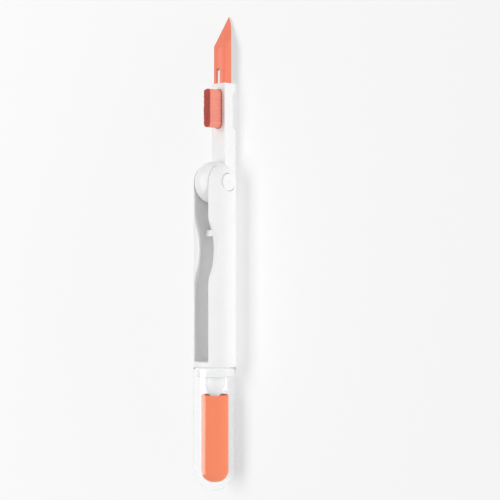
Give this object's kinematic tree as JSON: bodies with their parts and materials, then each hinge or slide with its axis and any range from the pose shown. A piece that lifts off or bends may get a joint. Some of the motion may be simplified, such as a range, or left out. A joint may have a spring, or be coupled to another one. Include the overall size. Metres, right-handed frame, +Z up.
{
  "type": "folding cleaning pen",
  "caption": "Folding cleaning pen: a pointed nib and a bristle brush on an arm that folds into the barrel's channel, and a flocked tip under a clear pull-off cap.",
  "frame": {"origin": "on the floor under the middle of the pen's length, with the pen lying on its back, the arm unfolded and the cap on", "axes": "+X along the hinge pin, +Y along the pen from the capped flocked tip towards the nib, +Z up out of the storage channel"},
  "size_m": [0.0134, 0.1486, 0.0134],
  "materials": {
    "white_plastic": "satin moulded",
    "orange_plastic": "satin moulded",
    "orange_bristle": "fine nylon filaments",
    "orange_flock": "short velvet flock",
    "clear_plastic": "clear polished",
    "pin_steel": "drawn wire"
  },
  "bodies": {
    "handle": {"handle_barrel": "white_plastic", "hinge_pin": "pin_steel", "pin_cover_right": "white_plastic", "pin_cover_left": "white_plastic", "tip_stem": "white_plastic", "flocked_tip": "orange_flock"},
    "arm": {"arm_beam": "white_plastic", "nib": "orange_plastic", "brush_carrier": "orange_plastic", "brush_bristles": "orange_bristle"},
    "cap": {"clear_cap": "clear_plastic"}
  },
  "joints": [
    {"name": "arm_fold", "type": "hinge", "parent": "handle", "child": "arm", "pos_m": [0, 0.0218, 0.0067], "axis": [1, 0, 0], "range_deg": [0, 180]},
    {"name": "cap_pull", "type": "slide", "parent": "handle", "child": "cap", "axis": [0, -1, 0], "range_m": [0, 0.045]}
  ]
}
